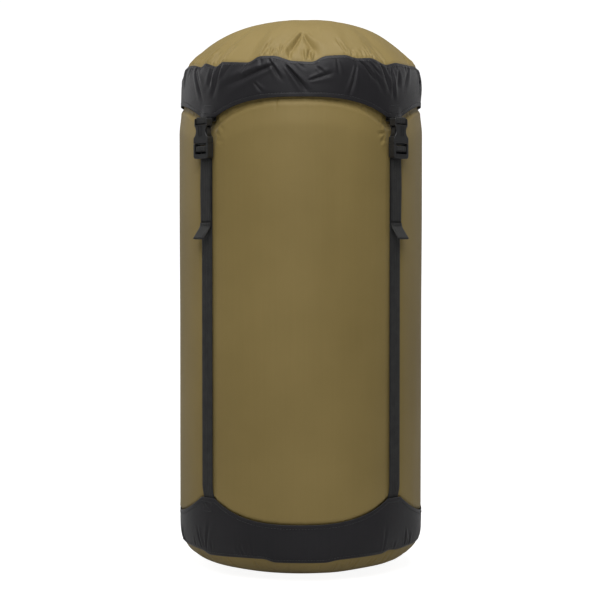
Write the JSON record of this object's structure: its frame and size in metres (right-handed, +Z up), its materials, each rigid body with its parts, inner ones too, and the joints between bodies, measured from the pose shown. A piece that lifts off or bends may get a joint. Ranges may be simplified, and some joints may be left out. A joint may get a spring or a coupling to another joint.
{
  "type": "compression sack",
  "caption": "Stuffed round compression sack with scalloped base and lid bands, webbing straps and side-release buckles that pull the lid down.",
  "frame": {"origin": "centre of the base on the floor, on the sack's axis", "axes": "+Z up along the sack's axis, -Y out of the front between two straps, +X to the right seen from the front"},
  "size_m": [0.261, 0.261, 0.5864],
  "materials": {
    "olive_nylon": "light satin coated nylon, olive khaki",
    "black_nylon": "matte plain weave, black",
    "webbing": "ribbed black webbing and binding tape",
    "buckle_plastic": "satin moulded acetal, black",
    "eyelet": "black oxide brass eyelet"
  },
  "bodies": {
    "sack": {"sack_tube": "olive_nylon", "base_panel": "olive_nylon", "base_band": "black_nylon", "base_band_binding": "webbing", "strap_front_left": "webbing", "strap_front_right": "webbing", "strap_rear_right": "webbing", "strap_rear_left": "webbing"},
    "mouth": {"mouth_collar": "black_nylon", "mouth_hem": "black_nylon", "hem_eyelets": "eyelet", "buckle_male_front_left": "buckle_plastic", "buckle_male_front_right": "buckle_plastic", "buckle_male_rear_right": "buckle_plastic", "buckle_male_rear_left": "buckle_plastic", "strap_tail_front_left": "webbing", "strap_tail_front_right": "webbing", "strap_tail_rear_right": "webbing", "strap_tail_rear_left": "webbing"},
    "lid": {"lid_top": "olive_nylon", "lid_band": "black_nylon", "lid_band_binding": "webbing", "lid_loop_front_left": "webbing", "lid_loop_front_right": "webbing", "lid_loop_rear_right": "webbing", "lid_loop_rear_left": "webbing", "buckle_female_front_left": "buckle_plastic", "buckle_female_front_right": "buckle_plastic", "buckle_female_rear_right": "buckle_plastic", "buckle_female_rear_left": "buckle_plastic"},
    "tab_front_left": {"strap_tab_front_left": "webbing"},
    "arm_left_front_left": {"buckle_arm_left_front_left": "buckle_plastic"},
    "arm_right_front_left": {"buckle_arm_right_front_left": "buckle_plastic"},
    "tab_front_right": {"strap_tab_front_right": "webbing"},
    "arm_left_front_right": {"buckle_arm_left_front_right": "buckle_plastic"},
    "arm_right_front_right": {"buckle_arm_right_front_right": "buckle_plastic"},
    "tab_rear_right": {"strap_tab_rear_right": "webbing"},
    "arm_left_rear_right": {"buckle_arm_left_rear_right": "buckle_plastic"},
    "arm_right_rear_right": {"buckle_arm_right_rear_right": "buckle_plastic"},
    "tab_rear_left": {"strap_tab_rear_left": "webbing"},
    "arm_left_rear_left": {"buckle_arm_left_rear_left": "buckle_plastic"},
    "arm_right_rear_left": {"buckle_arm_right_rear_left": "buckle_plastic"}
  },
  "joints": [
    {"name": "compress", "type": "slide", "parent": "sack", "child": "mouth", "axis": [0, 0, -1], "range_m": [0, 0.17], "deforming": ["sack_tube", "strap_front_left", "strap_front_right", "strap_rear_right", "strap_rear_left"]},
    {"name": "lid_lift", "type": "slide", "parent": "mouth", "child": "lid", "axis": [0, 0, 1], "range_m": [0, 0.14], "deforming": ["buckle_arm_left_front_left", "buckle_arm_left_front_right", "buckle_arm_left_rear_right", "buckle_arm_left_rear_left", "buckle_arm_right_front_left", "buckle_arm_right_front_right", "buckle_arm_right_rear_right", "buckle_arm_right_rear_left"]},
    {"name": "tail_front_left", "type": "slide", "parent": "mouth", "child": "tab_front_left", "axis": [0, 0, -1], "range_m": [0, 0.17], "deforming": ["strap_tail_front_left"]},
    {"name": "latch_left_front_left", "type": "hinge", "parent": "mouth", "child": "arm_left_front_left", "pos_m": [-0.10445, -0.08742, 0.4518], "axis": [0.7408, 0.6717, 0], "range_deg": [0, 13], "stiffness_Nm_per_rad": 0.3},
    {"name": "latch_right_front_left", "type": "hinge", "parent": "mouth", "child": "arm_right_front_left", "pos_m": [-0.0972, -0.09542, 0.4518], "axis": [-0.7408, -0.6717, 0], "range_deg": [0, 13], "stiffness_Nm_per_rad": 0.3},
    {"name": "tail_front_right", "type": "slide", "parent": "mouth", "child": "tab_front_right", "axis": [0, 0, -1], "range_m": [0, 0.17], "deforming": ["strap_tail_front_right"]},
    {"name": "latch_left_front_right", "type": "hinge", "parent": "mouth", "child": "arm_left_front_right", "pos_m": [0.0972, -0.09542, 0.4518], "axis": [-0.7408, 0.6717, 0], "range_deg": [0, 13], "stiffness_Nm_per_rad": 0.3},
    {"name": "latch_right_front_right", "type": "hinge", "parent": "mouth", "child": "arm_right_front_right", "pos_m": [0.10445, -0.08742, 0.4518], "axis": [0.7408, -0.6717, 0], "range_deg": [0, 13], "stiffness_Nm_per_rad": 0.3},
    {"name": "tail_rear_right", "type": "slide", "parent": "mouth", "child": "tab_rear_right", "axis": [0, 0, -1], "range_m": [0, 0.17], "deforming": ["strap_tail_rear_right"]},
    {"name": "latch_left_rear_right", "type": "hinge", "parent": "mouth", "child": "arm_left_rear_right", "pos_m": [0.10445, 0.08742, 0.4518], "axis": [-0.7408, -0.6717, 0], "range_deg": [0, 13], "stiffness_Nm_per_rad": 0.3},
    {"name": "latch_right_rear_right", "type": "hinge", "parent": "mouth", "child": "arm_right_rear_right", "pos_m": [0.0972, 0.09542, 0.4518], "axis": [0.7408, 0.6717, 0], "range_deg": [0, 13], "stiffness_Nm_per_rad": 0.3},
    {"name": "tail_rear_left", "type": "slide", "parent": "mouth", "child": "tab_rear_left", "axis": [0, 0, -1], "range_m": [0, 0.17], "deforming": ["strap_tail_rear_left"]},
    {"name": "latch_left_rear_left", "type": "hinge", "parent": "mouth", "child": "arm_left_rear_left", "pos_m": [-0.0972, 0.09542, 0.4518], "axis": [0.7408, -0.6717, 0], "range_deg": [0, 13], "stiffness_Nm_per_rad": 0.3},
    {"name": "latch_right_rear_left", "type": "hinge", "parent": "mouth", "child": "arm_right_rear_left", "pos_m": [-0.10445, 0.08742, 0.4518], "axis": [-0.7408, 0.6717, 0], "range_deg": [0, 13], "stiffness_Nm_per_rad": 0.3}
  ],
  "couplings": [
    {"joint": "tail_front_left", "follows": "compress", "ratio": 1},
    {"joint": "tail_front_right", "follows": "compress", "ratio": 1},
    {"joint": "tail_rear_right", "follows": "compress", "ratio": 1},
    {"joint": "tail_rear_left", "follows": "compress", "ratio": 1}
  ]
}
